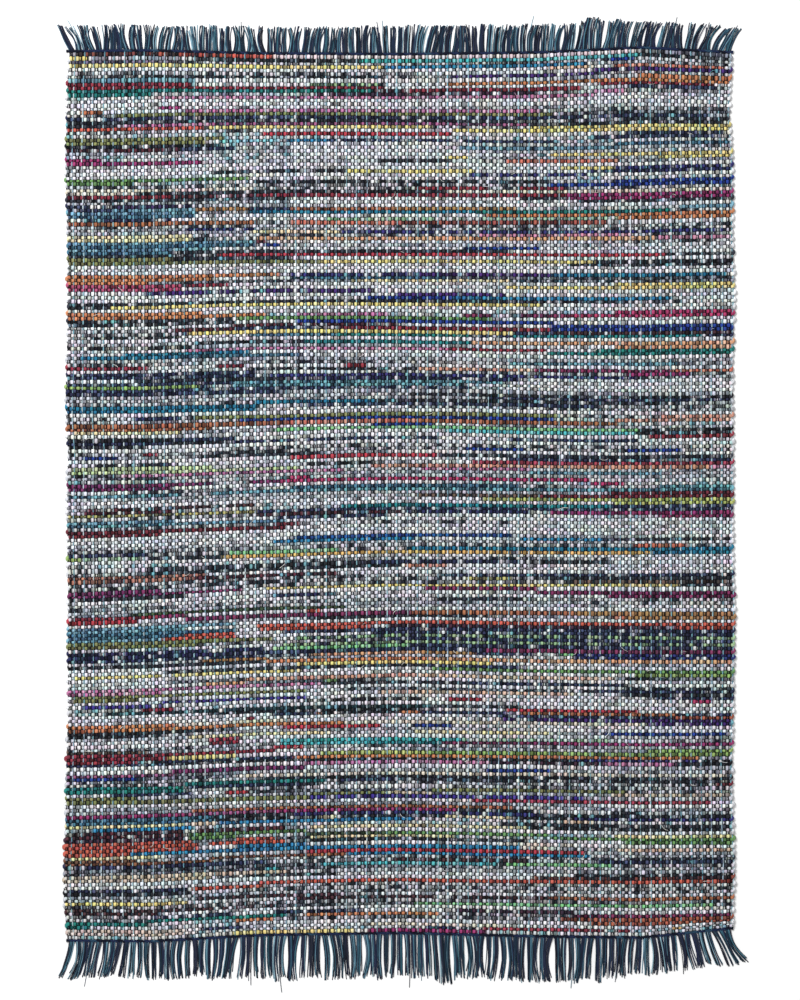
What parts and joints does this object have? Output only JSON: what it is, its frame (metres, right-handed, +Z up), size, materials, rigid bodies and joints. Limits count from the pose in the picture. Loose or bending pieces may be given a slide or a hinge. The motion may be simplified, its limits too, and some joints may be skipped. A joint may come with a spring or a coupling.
{
  "type": "handmade cotton rug",
  "caption": "Flat rectangular handwoven cotton rag rug with uneven multicoloured weft stripes on a dark warp and a dark fringe at both ends.",
  "frame": {"origin": "middle of the bounding box of cloth and fringes, on the ground plane under the rug", "axes": "+X across the rug to its right selvedge, +Y along the warp to the far fringe, +Z up, out of the rug's face"},
  "size_m": [1.6418, 2.3208, 0.0089],
  "materials": {
    "woven_rug": "matte woven cotton rag, multicoloured",
    "fringe_far": "matte loose cotton warp yarn, navy and teal",
    "fringe_near": "matte loose cotton warp yarn, navy and teal"
  },
  "bodies": {
    "root": {"woven_rug": "woven_rug", "fringe_far": "fringe_far", "fringe_near": "fringe_near"}
  },
  "joints": []
}
